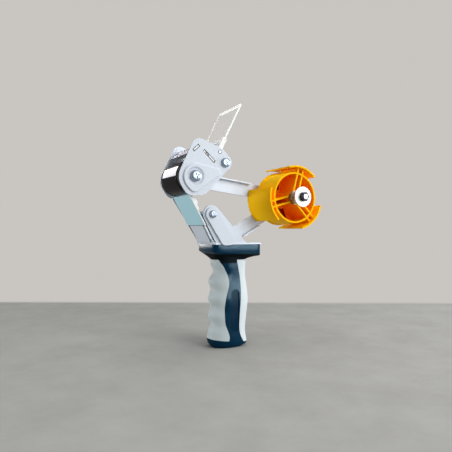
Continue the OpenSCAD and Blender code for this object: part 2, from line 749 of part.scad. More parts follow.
// The roller turns on a sleeve that the screw clamps between the plates
roller_sleeve_r = roller_screw_r + hole_fit + sleeve_wall;
roller_nut_t = nut_share * roller_screw_r;
roller_nut_flats = 10 / 3 * roller_screw_r;
module roller_screw() {
    color(zinc) pan_screw(roller, roller_screw_r, -dish_face, head_out + roller_nut_t + 1.2);
}
module roller_sleeve() {
    color(zinc)
        sleeve(roller, roller_sleeve_r, roller_screw_r + hole_fit, -dish_face + sheet, head_in);
}
module roller_nut() {
    color(zinc)
        hex_nut(roller, roller_nut_flats, roller_screw_r + run_fit, head_out, head_out + roller_nut_t);
}

roller_end = tape_w / 2 + tape_room / 3;
tube_end = roller_end - cap_len;
cap_plug = 8;
tube_bore = roller_r - roller_wall;
module roller_tube() {
    color([0.2, 0.2, 0.22]) sleeve(roller, roller_r, tube_bore, -tube_end, tube_end);
}
module roller_end_caps() {
    color([0.05, 0.05, 0.06]) for (side = [0, 1]) mirror([0, side, 0]) difference() {
        union() {
            rod(roller, roller_r - 0.6, tube_end, roller_end);
            rod(roller, tube_bore - seam, tube_end - cap_plug, tube_end);
        }
        rod(roller, roller_sleeve_r + run_fit, 0, roller_end + 1);
    }
}

// The guide keeps the tape down on its way to the roller
guide_nut_t = nut_share * guide_screw_r;
guide_flats = 8 / 2.5 * guide_screw_r;
module guide_screw() {
    color(zinc) pan_screw(guide, guide_screw_r, -head_out, head_out + guide_nut_t + 1);
}
module guide_sleeve() {
    color(zinc) sleeve(guide, guide_screw_r + hole_fit + sleeve_wall, guide_screw_r + hole_fit, -head_in,
        head_in);
}
module guide_nut() {
    color(zinc)
        hex_nut(guide, guide_flats, guide_screw_r + run_fit, head_out, head_out + guide_nut_t);
}

// Frames on the bar's legs: local x runs down the leg from the fold and local z is its outer face's normal
module on_front_leg() {
    translate([fold[0], 0, fold[1]]) rotate([0, 180 - bar_slope, 0]) mirror([0, 0, 1]) children();
}
module on_rear_leg() {
    translate([fold[0], 0, fold[1]]) rotate([0, rear_slope, 0]) children();
}
front_tab = [1.6, 8.7];
rear_tab = [15.6, bar_rear];
rear_slot_from = 8.8;
tab_out = head_out + 0.3;

// An obround slot through both head plates, along a leg; a tab between the two places clears its round ends
module leg_slot(from, to) {
    r = sheet / 2 + slot_fit;
    for (side = [-1, 1]) translate([0, side * (head_in + head_out) / 2, -sheet / 2]) rotate([90, 0, 0])
        linear_extrude(2 * sheet, center = true) {
            translate([from + slot_fit, -r]) square([to - from - 2 * slot_fit, 2 * r]);
            for (x = [from + slot_fit, to - slot_fit]) translate([x, 0]) circle(r);
        }
}
module head_slots() {
    on_front_leg() leg_slot(front_tab[0], front_tab[1]);
    on_rear_leg() leg_slot(rear_slot_from, rear_tab[1]);
}

// A leg of the bar: the sheet between the plates, with a tab through each slot
module bar_leg(length, tab) {
    translate([0, -head_in, -sheet]) cube([length, 2 * head_in, sheet]);
    translate([tab[0], -tab_out, -sheet]) cube([tab[1] - tab[0], 2 * tab_out, sheet]);
}

rivet_r = 1.2;
rivet_head_r = 2.1;
rivet_head_t = 0.8;
rivet_x = bar_front - 4;
rivet_y = tape_w * 0.32;
notch_y = 16;
module rivet_holes() {
    for (side = [-1, 1]) translate([rivet_x, side * rivet_y, -sheet - 1])
        cylinder(r = rivet_r + run_fit, h = sheet + blade_t + 2);
}
module blade_bar() {
    color(zinc) difference() {
        union() {
            on_front_leg() bar_leg(bar_front, front_tab);
            on_rear_leg() bar_leg(bar_rear, rear_tab);
        }
        on_front_leg() rivet_holes();
        for (side = [-1, 1]) on_rear_leg()
            translate([rear_slot_from, side * head_in - notch_depth, -sheet - 1])
                cube([rear_tab[0] - rear_slot_from, 2 * notch_depth, sheet + 2]);
    }
}
notch_depth = head_in - notch_y;

// The blade lies on the front leg, its teeth past the leg's edge
blade_from = 3;
blade_tip = bar_front + blade_reach;
tooth_count = floor(tape_w / tooth_spacing);
blade_half = tooth_count * tooth_spacing / 2;
module blade() {
    color([0.66, 0.66, 0.72]) on_front_leg() difference() {
        linear_extrude(blade_t) polygon(concat(
            [[blade_from, blade_half], [blade_from, -blade_half]],
            [for (i = [0:2 * tooth_count])
                [blade_tip - (i % 2 == 0 ? tooth_depth : 0), -blade_half + i * tooth_spacing / 2]]));
        rivet_holes();
    }
}
module blade_rivets() {
    color(zinc) on_front_leg() for (side = [-1, 1]) translate([rivet_x, side * rivet_y, 0]) {
        translate([0, 0, -sheet - rivet_head_t])
            cylinder(r = rivet_r, h = sheet + blade_t + 2 * rivet_head_t);
        translate([0, 0, blade_t]) cylinder(r1 = rivet_head_r, r2 = rivet_head_r * 0.6, h = rivet_head_t);
        translate([0, 0, -sheet - rivet_head_t])
            cylinder(r1 = rivet_head_r * 0.6, r2 = rivet_head_r, h = rivet_head_t);
    }
}

// Wiper: local z runs up the flap from its pin and local x points to its rear
module on_wiper() {
    translate([pivot[0], 0, pivot[1]]) rotate([0, wiper_lean, 0]) children();
}
wiper_half = tape_w / 2;
leg_w = 4;
leg_half = 2.5;
eye_r = wiper_pin_r + 2.5;
leg_top = 18;
rib_from = 14;
rib_to = 17;
coil_r = 3.2;
rib_back = coil_r - wiper_wire / 2 - 0.05;
module wiper() {
    color([0.85, 0.9, 0.88, 0.5]) on_wiper() difference() {
        union() {
            translate([-wiper_t / 2, -wiper_half, rib_from])
                cube([wiper_t, 2 * wiper_half, wiper_len - rib_from]);
            translate([-wiper_t / 2, -wiper_half, rib_from])
                cube([wiper_t / 2 + rib_back, 2 * wiper_half, rib_to - rib_from]);
            for (side = [-1, 1]) translate([0, side * (wiper_half - leg_w / 2), 0]) {
                translate([-leg_half, -leg_w / 2, 0]) cube([2 * leg_half, leg_w, leg_top]);
                rotate([90, 0, 0]) cylinder(r = eye_r, h = leg_w, center = true);
            }
        }
        rotate([90, 0, 0]) cylinder(r = wiper_pin_r + run_fit, h = 3 * wiper_half, center = true);
    }
}
module wiper_pin() {
    color(zinc) rod(pivot, wiper_pin_r, -head_out - 0.3, head_out + 0.3);
}

// Torsion spring on the wiper pin: one leg bends out through the free part of the rear slot, the other lies
// behind the wiper's rib
spring_side = -17.5;
coil_spacing = 1.5;
leg_bend = 1.6;
slot_place = fold + (rear_slot_from + 3) * [cos(rear_slope), -sin(rear_slope)]
    - sheet / 2 * [sin(rear_slope), cos(rear_slope)];
slot_reach = slot_place - pivot;
coil_from = atan2(slot_reach[1], slot_reach[0]) + acos(coil_r / norm(slot_reach));
coil_to = 360 * wiper_turns - wiper_lean;
coil_steps = 8 * wiper_turns;
slot_dir = unit(pivot + coil_r * [cos(coil_from), sin(coil_from)] - slot_place);
function at_y(p, y) = [p[0], y, p[1]];
wiper_spring_path = concat(
    [at_y(slot_place, -head_out - 0.2)],
    [for (t = [0:30:90])
        at_y(slot_place + leg_bend * (1 - cos(t)) * slot_dir, spring_side - leg_bend * (1 - sin(t)))],
    [for (i = [0:coil_steps]) let (a = mix(coil_from, coil_to, i / coil_steps))
        at_y(pivot + coil_r * [cos(a), sin(a)], spring_side + coil_spacing * (a - coil_from) / 360)],
    [at_y(pivot + coil_r * [cos(wiper_lean), -sin(wiper_lean)] + rib_to * [sin(wiper_lean), cos(wiper_lean)],
        spring_side + coil_spacing * (coil_to - coil_from) / 360)]
);
module wiper_spring() {
    echo(wiper_spring_least_gap = least_gap(wiper_spring_path, wiper_wire / 2, 6));
    color(zinc) wire_tube(wiper_spring_path, wiper_wire / 2, [0, 0, 1]);
}

// Hub

fin_angles = [75, 195, 315];
drum_far = 14.4;
drum_near = drum_far - drum_len;
fin_near = drum_near - fin_overhang;
fin_far = head_in - 1;
floor_t = 5;
pocket_depth = 3.2;
lip_w = 2.5;
hub_boss_r = 8;
brake_t = 1.5;
brake_r = 12;
boss_far = head_in - nut_share * axle_r - brake_t;
boss_near = drum_near + 1.6;
core_r = core_d / 2;

module on_hub() {
    translate([hub_c[0], 0, hub_c[1]]) rotate([-90, 0, 0]) mirror([0, 1, 0]) children();
}

// A sector between two radii, as a polygon
function sector(r_in, r_out, a_from, a_to) = concat(
    [for (i = [0:8]) r_out * [cos(mix(a_from, a_to, i / 8)), sin(mix(a_from, a_to, i / 8))]],
    [for (i = [8:-1:0]) r_in * [cos(mix(a_from, a_to, i / 8)), sin(mix(a_from, a_to, i / 8))]]);

// A fin on its two ribs, which stop short of the spring seat's washer
module fin() {
    rotate([0, 0, -fin_span / 2]) rotate_extrude(angle = fin_span)
        translate([core_r - hub_wall, fin_near]) square([hub_wall, fin_far - fin_near]);
    for (side = [-1, 1]) translate([hub_boss_r - 1, side * rib_gap / 2 - hub_wall / 2, drum_near + 0.4])
        cube([core_r - hub_wall - hub_boss_r + 1.5, hub_wall, drum_len - 0.8]);
}

module hub() {
    color(hub_yellow) on_hub() difference() {
        union() {
            difference() {
                translate([0, 0, drum_near])
                    cylinder(r1 = drum_r, r2 = drum_far_r - 0.8, h = drum_len, $fn = 96);
                translate([0, 0, drum_near - 0.01]) cylinder(r1 = drum_r - hub_wall,
                    r2 = drum_far_r - 0.8 - hub_wall, h = drum_len - floor_t, $fn = 96);
                for (a = fin_angles) translate([0, 0, drum_far - floor_t - 1])
                    linear_extrude(pocket_depth + 1) {
                        polygon(sector(hub_boss_r + 4, drum_r - 3.4, a + 24, a + 96));
                        rotate(a) translate([hub_boss_r + 4, -rib_gap / 2])
                            square([drum_r - hub_boss_r - 8, rib_gap]);
                    }
            }
            translate([0, 0, drum_far - lip_w]) difference() {
                cylinder(r = drum_far_r, h = lip_w, $fn = 96);
                translate([0, 0, -1]) cylinder(r = drum_far_r - hub_wall, h = lip_w + 2, $fn = 96);
            }
            for (a = fin_angles) rotate([0, 0, a]) fin();
            translate([0, 0, boss_near]) cylinder(r = hub_boss_r, h = boss_far - boss_near);
        }
        translate([0, 0, fin_near]) cylinder(r = axle_r + run_fit, h = fin_far - fin_near);
        translate([0, 0, fin_near]) cylinder(r = seat_r + 0.4, h = boss_near - fin_near);
    }
}

// The axle is a bolt through the side frame, clamped by a nut on the inside
axle_flats = 10 / 3 * axle_r;
axle_nut_t = nut_share * axle_r;
seat_t = 1.2;
seat_r = 8.8;
washer_in = boss_near - seat_t - spring_len;
washer_out = washer_in - tension_washer_t;
tension_nut_t = 3.8;
axle_tail = 1.4;
module hub_axle() {
    color(zinc) union() {
        rod(hub_c, axle_r, washer_out - tension_nut_t - axle_tail, head_out + 0.5);
        translate([hub_c[0], head_out + 4, hub_c[1]]) rotate([90, 0, 0])
            cylinder(r = axle_flats / 2 / cos(30), h = 4, $fn = 6);
    }
}
module axle_nut() {
    color(zinc) hex_nut(hub_c, axle_flats, axle_r + run_fit, head_in - axle_nut_t, head_in);
}
module brake_washer() {
    color([0.35, 0.22, 0.15]) sleeve(hub_c, brake_r, axle_r + run_fit, boss_far, boss_far + brake_t);
}
module spring_seat() {
    color(zinc) sleeve(hub_c, seat_r, axle_r + run_fit, boss_near - seat_t, boss_near);
}
module tension_washer() {
    color(zinc) sleeve(hub_c, tension_washer_r, axle_r + run_fit, washer_out, washer_in);
}
module tension_nut() {
    color(zinc) hex_nut(hub_c, axle_flats, axle_r + run_fit, washer_out - tension_nut_t, washer_out);
}

// Tension spring from the washer to its seat; each end turns off the coil and stands square on its washer
end_gap = 0.02;
end_bend = spring_wire;
end_rise = spring_wire + end_bend;
spring_from = washer_in + end_gap;
spring_to = boss_near - seat_t - end_gap;
bend_turn = end_bend / spring_r * 180 / PI;
function on_coil(a, y) = [hub_c[0] + spring_r * cos(a), y, hub_c[1] + spring_r * sin(a)];
function end_bow(t) = bend_turn * (1 - cos(t));
tension_spring_path = concat(
    [on_coil(0, spring_from)],
    [for (t = [0:30:60]) on_coil(end_bow(t), spring_from + spring_wire + end_bend * sin(t))],
    [for (i = [0:8 * spring_turns]) on_coil(bend_turn + 45 * i,
        mix(spring_from + end_rise, spring_to - end_rise, i / (8 * spring_turns)))],
    [for (t = [60:-30:0]) on_coil(2 * bend_turn + 360 * spring_turns - end_bow(t),
        spring_to - spring_wire - end_bend * sin(t))],
    [on_coil(2 * bend_turn + 360 * spring_turns, spring_to)]
);
module tension_spring() {
    echo(tension_spring_least_gap = least_gap(tension_spring_path, spring_wire / 2, 6));
    color([0.55, 0.5, 0.45]) wire_tube(tension_spring_path, spring_wire / 2, [1, 0, 0]);
}

handle_shell_near();
handle_shell_far();
grip_front();
grip_back();
handle_screws();
side_frame();
saddle();
deck_screws();
front_guard();
tie_screw();
tie_sleeve();
tie_nut();
head_plate_near();
roller_screw();
roller_sleeve();
roller_nut();
roller_tube();
roller_end_caps();
guide_screw();
guide_sleeve();
guide_nut();
blade_bar();
blade();
blade_rivets();
wiper();
wiper_pin();
wiper_spring();
hub_axle();
axle_nut();
brake_washer();
hub();
spring_seat();
tension_spring();
tension_washer();
tension_nut();
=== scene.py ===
import bpy
import numpy as np
from mathutils import Matrix, Vector


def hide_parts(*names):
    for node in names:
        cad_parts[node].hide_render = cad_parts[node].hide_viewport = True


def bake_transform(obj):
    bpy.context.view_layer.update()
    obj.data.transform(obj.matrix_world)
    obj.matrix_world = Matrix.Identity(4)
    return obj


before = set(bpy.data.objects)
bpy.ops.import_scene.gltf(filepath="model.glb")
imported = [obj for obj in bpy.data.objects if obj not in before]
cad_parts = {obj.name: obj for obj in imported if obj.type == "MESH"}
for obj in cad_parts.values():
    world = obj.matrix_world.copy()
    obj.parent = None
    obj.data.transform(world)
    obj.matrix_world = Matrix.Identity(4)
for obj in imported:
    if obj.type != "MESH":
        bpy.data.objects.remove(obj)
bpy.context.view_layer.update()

scene = bpy.context.scene
scene.view_settings.view_transform = "Standard"
scene.cycles.max_bounces = 16
scene.cycles.diffuse_bounces = 12

# Camera. It stands in front of the near side, a little above the handle's deck, and looks almost
# level, turned so that the roller is on the left and the hub on the right.
photo_side = 452.0
photo_focal = 445.0
camera_at = np.array([-0.2422, -0.4460, 0.1308])
heading, pitch, roll = np.radians([28.4, 0.515, 0.144])
look = np.array([np.sin(heading) * np.cos(pitch), np.cos(heading) * np.cos(pitch), np.sin(pitch)])
level = np.array([np.cos(heading), -np.sin(heading), 0.0])
across = np.cos(roll) * level + np.sin(roll) * np.cross(level, look)
camera_data = bpy.data.cameras.new("camera")
camera_data.sensor_width = 36.0
camera_data.lens = camera_data.sensor_width * photo_focal / photo_side
camera = bpy.data.objects.new("camera", camera_data)
camera_axes = np.eye(4)
camera_axes[:3] = np.column_stack([across, np.cross(across, look), -look, camera_at])
camera.matrix_world = Matrix(camera_axes.tolist())
scene.collection.objects.link(camera)
scene.camera = camera


# Table and wall. A plain pale table top that ends in a soft line against a slightly paler wall. The
# wall has no mesh of its own: past the line the floor shows the wall's colour, and so does the world
# above it. The room's own light is weaker on the left than on the right.
def tint(red, green, blue):
    """A colour as a screen shows it, 0 to 255 a channel, made linear for a shader."""
    shown = np.array([red, green, blue]) / 255.0
    linear = np.where(shown > 0.04045, ((shown + 0.055) / 1.055) ** 2.4, shown / 12.92)
    return (*linear.tolist(), 1.0)


def add(tree, kind, values=None, **settings):
    """One node in a tree, with its settings by name and its socket values by socket name or number."""
    made = tree.nodes.new(kind)
    for name, value in settings.items():
        setattr(made, name, value)
    for socket, value in (values or {}).items():
        made.inputs[socket].default_value = value
    return made


def join(tree, *pairs):
    """Links pairs of an output socket and an input socket."""
    for source, target in pairs:
        tree.links.new(source, target)


def times(tree, first, second):
    """The product of two value sockets."""
    product = add(tree, "ShaderNodeMath", operation="MULTIPLY")
    join(tree, (first, product.inputs[0]), (second, product.inputs[1]))
    return product.outputs[0]


def backdrop_rays(tree, mirrored=None):
    """The share of a ray that should see the backdrop: 1 for rays from the camera and through clear
    plastic, and for rays from mirrors 1 or the share that a socket gives."""
    path = add(tree, "ShaderNodeLightPath")
    glossy = path.outputs["Is Glossy Ray"]
    mirrors = add(tree, "ShaderNodeMath", operation="MAXIMUM")
    rays = add(tree, "ShaderNodeMath", operation="MAXIMUM")
    join(tree, (path.outputs["Is Camera Ray"], mirrors.inputs[0]),
         (times(tree, glossy, mirrored) if mirrored else glossy, mirrors.inputs[1]),
         (mirrors.outputs[0], rays.inputs[0]),
         (path.outputs["Is Transmission Ray"], rays.inputs[1]))
    return rays.outputs[0]


table_tint = tint(159, 158, 154)
wall_tint = tint(201, 197, 193)
wall_line = 0.2945
line_blur = 0.012
floor_half = 4.0
toward_wall = (np.sin(heading), np.cos(heading), 0.0)
floor_mesh = bpy.data.meshes.new("floor")
floor_corners = [(-floor_half, -floor_half, 0), (floor_half, -floor_half, 0),
                 (floor_half, floor_half, 0), (-floor_half, floor_half, 0)]
floor_mesh.from_pydata(floor_corners, [], [(0, 1, 2, 3)])
floor = bpy.data.objects.new("floor", floor_mesh)
scene.collection.objects.link(floor)
floor_finish = bpy.data.materials.new("table_top")
floor_finish.use_nodes = True
tree = floor_finish.node_tree
table = tree.nodes["Principled BSDF"]
table.inputs["Roughness"].default_value = 0.9
table.inputs["Specular IOR Level"].default_value = 0.0
spot = add(tree, "ShaderNodeTexCoord")
grain = add(tree, "ShaderNodeTexNoise", {"Scale": 16.0, "Detail": 7.0, "Roughness": 0.68})
clouds = add(tree, "ShaderNodeMapRange",
             {"From Min": 0.3, "From Max": 0.7, "To Min": 0.90, "To Max": 1.08})
shade = add(tree, "ShaderNodeMix", {0: 1.0, 6: table_tint}, data_type="RGBA", blend_type="MULTIPLY")
distance = add(tree, "ShaderNodeVectorMath", {1: toward_wall}, operation="DOT_PRODUCT")
past = add(tree, "ShaderNodeMapRange",
           {"From Min": wall_line - line_blur, "From Max": wall_line + line_blur},
           interpolation_type="SMOOTHSTEP")
wall = add(tree, "ShaderNodeEmission", {"Color": wall_tint, "Strength": 1.0})
blend = add(tree, "ShaderNodeMixShader")
join(tree, (spot.outputs["Object"], grain.inputs["Vector"]),
     (grain.outputs["Fac"], clouds.inputs["Value"]), (clouds.outputs["Result"], shade.inputs[7]),
     (shade.outputs[2], table.inputs["Base Color"]), (spot.outputs["Object"], distance.inputs[0]),
     (distance.outputs["Value"], past.inputs["Value"]),
     (times(tree, past.outputs["Result"], backdrop_rays(tree)), blend.inputs["Fac"]),
     (table.outputs["BSDF"], blend.inputs[1]), (wall.outputs["Emission"], blend.inputs[2]),
     (blend.outputs["Shader"], tree.nodes["Material Output"].inputs["Surface"]))
floor_mesh.materials.append(floor_finish)

left_room, right_room = 0.27, 0.63
world = bpy.data.worlds.new("room")
scene.world = world
world.use_nodes = True
tree = world.node_tree
room = tree.nodes["Background"]
room.inputs["Color"].default_value = (0.93, 0.97, 1.0, 1.0)
wall_glow = add(tree, "ShaderNodeBackground", {"Color": wall_tint, "Strength": 1.0})
way = add(tree, "ShaderNodeTexCoord")
to_wall = add(tree, "ShaderNodeVectorMath", {1: toward_wall}, operation="DOT_PRODUCT")
wall_side = add(tree, "ShaderNodeMapRange", {"From Min": -0.1, "From Max": 0.3})
to_right = add(tree, "ShaderNodeVectorMath", {1: level.tolist()}, operation="DOT_PRODUCT")
room_light = add(tree, "ShaderNodeMapRange",
                 {"From Min": -0.7, "From Max": 0.7, "To Min": left_room, "To Max": right_room})
choice = add(tree, "ShaderNodeMixShader")
join(tree, (way.outputs["Generated"], to_wall.inputs[0]),
     (to_wall.outputs["Value"], wall_side.inputs["Value"]),
     (way.outputs["Generated"], to_right.inputs[0]),
     (to_right.outputs["Value"], room_light.inputs["Value"]),
     (room_light.outputs["Result"], room.inputs["Strength"]),
     (backdrop_rays(tree, wall_side.outputs["Result"]), choice.inputs["Fac"]),
     (room.outputs["Background"], choice.inputs[1]), (wall_glow.outputs["Background"], choice.inputs[2]),
     (choice.outputs["Shader"], tree.nodes["World Output"].inputs["Surface"]))


# Studio lights. One large soft box at the right front gives the main light, one overhead lights the
# tops, weak ones fill the right and the left, and one lights the side frame alone, for its arms. Three
# cards show only as mirrored light: one in the roller and the blade, two in the handle shells.
def soft_box(name, place, aim, width, height, watts, colour=(1.0, 1.0, 1.0), spread=180.0,
             mirrored_in=(), shines_on=()):
    """An area lamp at a place, its face turned to an aim point; the camera doesn't see the lamp
    itself. A lamp that is mirrored in named pieces is a card: it shows in their gloss alone and lights
    nothing else. A lamp that shines on named pieces lights those alone."""
    lamp = bpy.data.lights.new(name, "AREA")
    lamp.shape = "RECTANGLE"
    lamp.size = width
    lamp.size_y = height
    lamp.energy = watts
    lamp.color = colour
    lamp.spread = np.radians(spread)
    stand = bpy.data.objects.new(name, lamp)
    stand.location = place
    stand.rotation_euler = (Vector(aim) - Vector(place)).to_track_quat("-Z", "Y").to_euler()
    stand.visible_camera = False
    if mirrored_in or shines_on:
        stand.visible_diffuse = not mirrored_in
        lit_pieces = bpy.data.collections.new(name + "_pieces")
        for piece in mirrored_in or shines_on:
            lit_pieces.objects.link(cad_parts[piece])
        stand.light_linking.receiver_collection = lit_pieces
    scene.collection.objects.link(stand)


light_aim = (0.01, 0.0, 0.14)
arms_at = (0.03, 0.03, 0.17)
deck_at = (0.0, 0.0, 0.09)
roller_at = (-0.0525, 0.0, 0.1864)
shells = "handle_shell_near", "handle_shell_far"
bright_metal = "roller_tube", "blade"
soft_box("key_light", (0.52, -1.08, 0.58), light_aim, 0.9, 0.9, 10.8, (1.0, 0.99, 0.97))
soft_box("top_light", (0.05, 0.0, 1.25), light_aim, 0.9, 0.9, 6.5)
soft_box("right_light", (0.95, -0.25, 0.25), light_aim, 0.6, 0.6, 4.2)
soft_box("arm_light", (0.08, -1.05, 0.30), arms_at, 0.4, 0.4, 4.2, shines_on=("side_frame",))
soft_box("left_light", (-0.95, 0.48, 0.15), light_aim, 0.6, 0.24, 1.1, spread=80.0)
soft_box("left_card", (-0.40, 0.77, 0.08), light_aim, 0.50, 0.12, 3.5, mirrored_in=shells)
soft_box("roller_card", (-0.22, 0.70, 0.44), roller_at, 0.30, 0.30, 6.4, mirrored_in=bright_metal)
soft_box("deck_card", (0.26, -0.48, 0.055), deck_at, 0.50, 0.07, 7.2, (0.66, 0.91, 1.0),
         mirrored_in=shells)


# Handle shells. Two halves moulded in dark teal plastic and screwed together on the middle plane:
# foot, side strips with a long recess, the core that the grips sit on, the matt neck and the flared
# deck. The recess and the neck are darkened in colour: painted shade.
def crease_by_angle():
    """A modifier tree that welds a node's loose triangles, keeps an edge sharp where its two faces
    turn by more than an angle, and marks a raised form's edges for rounding: those before the crest
    plane fully, and the inner ones before the foot plane in part, except within a radius of a screw."""
    weld_gap = 2e-6
    inner_turn = -0.5
    inner_share = 0.55
    group = bpy.data.node_groups.new("crease_by_angle", "GeometryNodeTree")
    group.interface.new_socket("Mesh", in_out="INPUT", socket_type="NodeSocketGeometry")
    for name in ("Angle", "Crest", "Foot", "Screw Radius"):
        group.interface.new_socket(name, in_out="INPUT", socket_type="NodeSocketFloat")
    group.interface.new_socket("Screw", in_out="INPUT", socket_type="NodeSocketVector")
    group.interface.new_socket("Mesh", in_out="OUTPUT", socket_type="NodeSocketGeometry")
    start = add(group, "NodeGroupInput")
    weld = add(group, "GeometryNodeMergeByDistance", {"Distance": weld_gap})
    edge = add(group, "GeometryNodeInputMeshEdgeAngle")
    sharp = add(group, "FunctionNodeCompare", data_type="FLOAT", operation="GREATER_THAN")
    normals = add(group, "GeometryNodeSetMeshNormal", {"Remove Custom": True}, mode="SHARPNESS")
    place = add(group, "GeometryNodeInputPosition")
    split = add(group, "ShaderNodeSeparateXYZ")
    away = add(group, "ShaderNodeVectorMath", operation="SUBTRACT")
    side_view = add(group, "ShaderNodeVectorMath", {1: (1.0, 0.0, 1.0)}, operation="MULTIPLY")
    reach = add(group, "ShaderNodeVectorMath", operation="LENGTH")
    clear = add(group, "FunctionNodeCompare", data_type="FLOAT", operation="GREATER_THAN")
    before_crest = add(group, "FunctionNodeCompare", data_type="FLOAT", operation="LESS_THAN")
    before_foot = add(group, "FunctionNodeCompare", data_type="FLOAT", operation="LESS_THAN")
    inner = add(group, "FunctionNodeCompare", {1: inner_turn}, data_type="FLOAT", operation="LESS_THAN")
    both = add(group, "ShaderNodeMath", {1: inner_share}, operation="MULTIPLY_ADD")
    mark = add(group, "GeometryNodeStoreNamedAttribute", {"Name": "bevel_weight_edge"},
               data_type="FLOAT", domain="EDGE")
    end = add(group, "NodeGroupOutput")
    join(group, (start.outputs["Mesh"], weld.inputs["Geometry"]),
         (edge.outputs["Unsigned Angle"], sharp.inputs[0]), (start.outputs["Angle"], sharp.inputs[1]),
         (weld.outputs["Geometry"], normals.inputs["Mesh"]),
         (sharp.outputs["Result"], normals.inputs["Edge Sharpness"]),
         (place.outputs["Position"], split.inputs["Vector"]),
         (place.outputs["Position"], away.inputs[0]), (start.outputs["Screw"], away.inputs[1]),
         (away.outputs["Vector"], side_view.inputs[0]), (side_view.outputs["Vector"], reach.inputs[0]),
         (reach.outputs["Value"], clear.inputs[0]), (start.outputs["Screw Radius"], clear.inputs[1]),
         (split.outputs["Y"], before_crest.inputs[0]), (start.outputs["Crest"], before_crest.inputs[1]),
         (split.outputs["Y"], before_foot.inputs[0]), (start.outputs["Foot"], before_foot.inputs[1]),
         (edge.outputs["Signed Angle"], inner.inputs[0]))
    crest = times(group, before_crest.outputs["Result"], clear.outputs["Result"])
    foot = times(group, before_foot.outputs["Result"], inner.outputs["Result"])
    folded = times(group, foot, clear.outputs["Result"])
    join(group, (folded, both.inputs[0]), (crest, both.inputs[2]),
         (times(group, both.outputs[0], sharp.outputs["Result"]), mark.inputs["Value"]),
         (normals.outputs["Mesh"], mark.inputs["Geometry"]), (mark.outputs["Geometry"], end.inputs["Mesh"]))
    return group


crease_group = crease_by_angle()
crease_sockets = {item.name: item.identifier for item in crease_group.interface.items_tree
                  if item.in_out == "INPUT"}
no_flank = (-1.0, -1.0, (0.0, 0.0, 0.0), 0.0, 0.0)
flank_steps, edge_steps = 4, 2
flat_turn = 0.2
millimetre = 1e-3


def soften(name, edge=0.0, turn=38.0, flank=no_flank):
    """Welds a node, shades its curved faces smooth, and rounds each edge where its faces turn by more
    than the angle, by the edge width in millimetres. A flank gives a raised form broad soft sides: the
    planes before its crest and foot, a screw's place and clear radius, all in metres, and a width in
    millimetres."""
    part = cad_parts[name]
    crest, foot, screw, screw_r, flank_mm = flank
    crease = part.modifiers.new("crease", "NODES")
    crease.node_group = crease_group
    for socket, value in (("Angle", float(np.radians(turn))), ("Crest", crest), ("Foot", foot),
                          ("Screw", screw), ("Screw Radius", screw_r)):
        crease[crease_sockets[socket]] = value
    if edge > 0:
        plane = part.modifiers.new("join_flats", "DECIMATE")
        plane.decimate_type = "DISSOLVE"
        plane.angle_limit = np.radians(flat_turn)
    for label, width, limit, count in (("soft_flank", flank_mm, "WEIGHT", flank_steps),
                                       ("round_edges", edge, "ANGLE", edge_steps)):
        if width > 0:
            bevel = part.modifiers.new(label, "BEVEL")
            bevel.width = width * millimetre
            bevel.segments = count
            bevel.limit_method = limit
            bevel.angle_limit = np.radians(turn)
            bevel.use_clamp_overlap = True
            bevel.harden_normals = True
    return part


def wear(part, finish):
    """Gives a piece its finish."""
    part.data.materials.clear()
    part.data.materials.append(finish)


def new_finish(name, **values):
    """A finish with a Principled shader, with its plain socket values; underscores stand for spaces."""
    finish = bpy.data.materials.new(name)
    finish.use_nodes = True
    shader = finish.node_tree.nodes["Principled BSDF"]
    for socket, value in values.items():
        shader.inputs[socket.replace("_", " ")].default_value = value
    return finish, finish.node_tree, shader


def moulded_skin():
    """A group for moulded plastic: a fine grain for height, a slow cloud for shade and a roughness
    between two limits."""
    group = bpy.data.node_groups.new("moulded_skin", "ShaderNodeTree")
    for name in ("Grain Scale", "Cloud Scale", "Smooth", "Rough"):
        group.interface.new_socket(name, in_out="INPUT", socket_type="NodeSocketFloat")
    for name in ("Height", "Roughness", "Cloud"):
        group.interface.new_socket(name, in_out="OUTPUT", socket_type="NodeSocketFloat")
    start = add(group, "NodeGroupInput")
    end = add(group, "NodeGroupOutput")
    place = add(group, "ShaderNodeTexCoord")
    fine = add(group, "ShaderNodeTexNoise", {"Detail": 2.0, "Roughness": 0.5})
    slow = add(group, "ShaderNodeTexNoise", {"Detail": 4.0, "Roughness": 0.6})
    spread = add(group, "ShaderNodeMapRange", {"From Min": 0.32, "From Max": 0.68})
    join(group, (place.outputs["Object"], fine.inputs["Vector"]),
         (place.outputs["Object"], slow.inputs["Vector"]),
         (start.outputs["Grain Scale"], fine.inputs["Scale"]),
         (start.outputs["Cloud Scale"], slow.inputs["Scale"]),
         (slow.outputs["Fac"], spread.inputs["Value"]),
         (start.outputs["Smooth"], spread.inputs["To Min"]),
         (start.outputs["Rough"], spread.inputs["To Max"]), (fine.outputs["Fac"], end.inputs["Height"]),
         (spread.outputs["Result"], end.inputs["Roughness"]), (slow.outputs["Fac"], end.inputs["Cloud"]))
    return group


moulded_group = moulded_skin()


def skin_of(tree, grain, cloud, smooth, rough):
    """The moulded skin group in a finish, with its own scales and limits."""
    return add(tree, "ShaderNodeGroup", {"Grain Scale": grain, "Cloud Scale": cloud, "Smooth": smooth,
                                         "Rough": rough}, node_tree=moulded_group)


def two_tones(tree, factor, first, second):
    """The colour between two tints by a factor socket."""
    mixer = add(tree, "ShaderNodeMix", {6: first, 7: second}, data_type="RGBA")
    join(tree, (factor, mixer.inputs[0]))
    return mixer.outputs[2]


def raise_grain(tree, shader, height, depth_mm):
    """Bump of a depth in millimetres from a height socket."""
    bump = add(tree, "ShaderNodeBump", {"Strength": 1.0, "Distance": depth_mm * millimetre})
    join(tree, (height, bump.inputs["Height"]), (bump.outputs["Normal"], shader.inputs["Normal"]))


